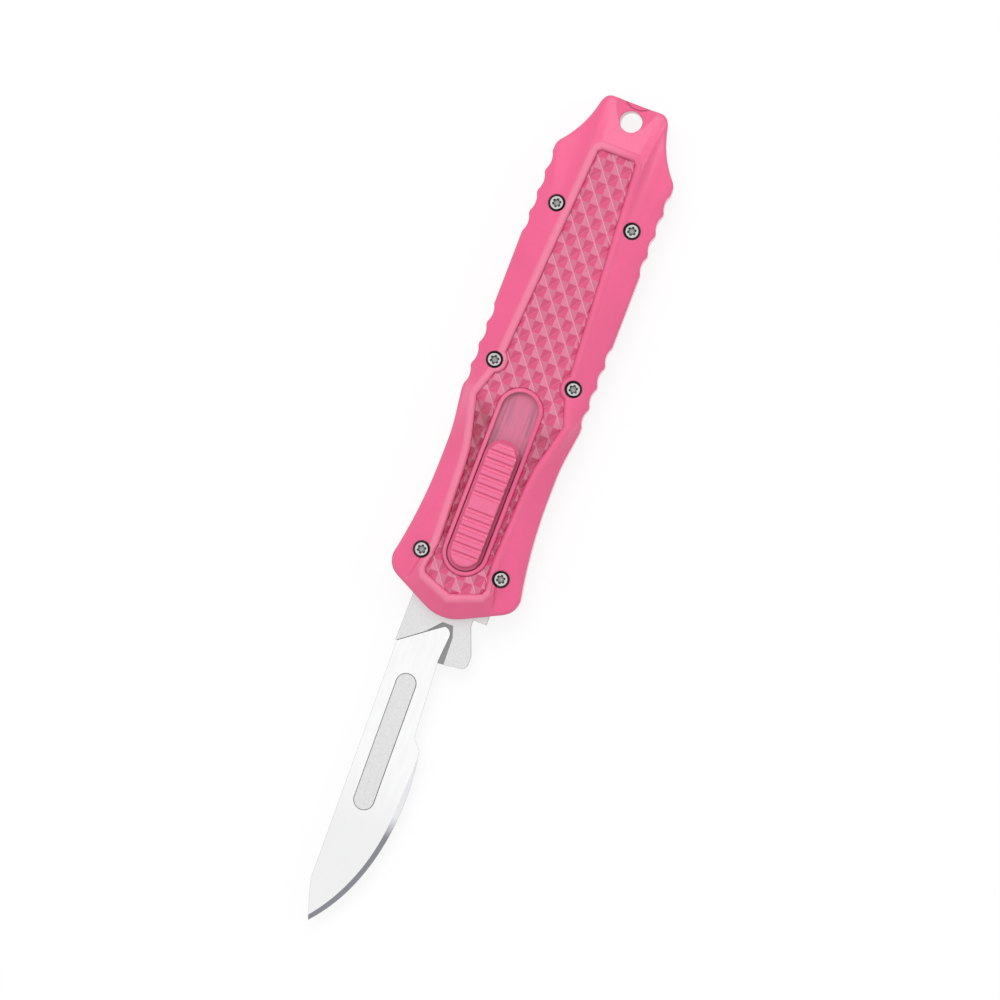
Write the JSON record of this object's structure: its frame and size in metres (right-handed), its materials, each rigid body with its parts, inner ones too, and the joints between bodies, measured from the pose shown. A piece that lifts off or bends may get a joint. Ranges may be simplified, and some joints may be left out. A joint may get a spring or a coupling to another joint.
{
  "type": "hobby craft knife",
  "caption": "Slim painted knife whose ribbed thumb slide throws a scalpel blade straight out of the front of the handle and draws it back in, with a scooped lanyard hole at the tail.",
  "frame": {"origin": "on the lanyard hole's axis, at the middle of the handle's thickness", "axes": "+X along the handle towards the blade's tip, +Y towards the cutting edge's side, +Z out of the face with the thumb slide"},
  "size_m": [0.1559, 0.0242, 0.0123],
  "materials": {
    "pink_paint": "satin",
    "screw_steel": "satin",
    "blade_steel": "polished",
    "carrier_steel": "satin",
    "spring_steel": "satin",
    "bumper_rubber": "matte"
  },
  "bodies": {
    "handle": {"front_shell": "pink_paint", "back_shell": "pink_paint", "case_screws": "screw_steel", "front_latch_pin": "screw_steel", "rear_latch_pin": "screw_steel", "front_latch_spring": "spring_steel", "rear_latch_spring": "spring_steel", "front_stop_pin": "screw_steel", "rear_bumper": "bumper_rubber"},
    "blade": {"blade_carrier": "carrier_steel", "scalpel_blade": "blade_steel", "drive_stud": "screw_steel"},
    "slide": {"thumb_slide": "pink_paint", "stem_pin": "screw_steel", "slide_carriage": "spring_steel", "left_main_spring": "spring_steel", "right_main_spring": "spring_steel"},
    "front mule": {"front_mule": "spring_steel"},
    "rear mule": {"rear_mule": "spring_steel"},
    "front latch": {"front_latch": "carrier_steel"},
    "rear latch": {"rear_latch": "carrier_steel"}
  },
  "joints": [
    {"name": "blade_travel", "type": "slide", "parent": "handle", "child": "blade", "axis": [1, 0, 0], "range_m": [-0.06, 0]},
    {"name": "thumb_slide_travel", "type": "slide", "parent": "handle", "child": "slide", "axis": [1, 0, 0], "range_m": [-0.0088, 0]},
    {"name": "front_mule_stretch", "type": "slide", "parent": "slide", "child": "front mule", "axis": [1, 0, 0], "range_m": [0, 0.0088], "stiffness_N_per_m": 110, "springref_m": -0.01, "deforming": ["left_main_spring"]},
    {"name": "rear_mule_stretch", "type": "slide", "parent": "slide", "child": "rear mule", "axis": [-1, 0, 0], "range_m": [0, 0.0088], "stiffness_N_per_m": 110, "springref_m": -0.01, "deforming": ["right_main_spring"]},
    {"name": "front_latch_swing", "type": "hinge", "parent": "handle", "child": "front latch", "pos_m": [0.0585, -0.0084, -0.0017], "axis": [0, 0, 1], "range_deg": [-2.6, 0], "deforming": ["front_latch_spring"]},
    {"name": "rear_latch_swing", "type": "hinge", "parent": "handle", "child": "rear latch", "pos_m": [0.0425, 0.00895, -0.0017], "axis": [0, 0, 1], "range_deg": [0, 7.4], "deforming": ["rear_latch_spring"]}
  ],
  "couplings": [
    {"joint": "thumb_slide_travel", "follows": "blade_travel", "ratio": 0.14667},
    {"joint": "front_latch_swing", "follows": "blade_travel", "rad_per_m": 0.7563},
    {"joint": "rear_latch_swing", "follows": "blade_travel", "rad_per_m": -2.1525}
  ]
}
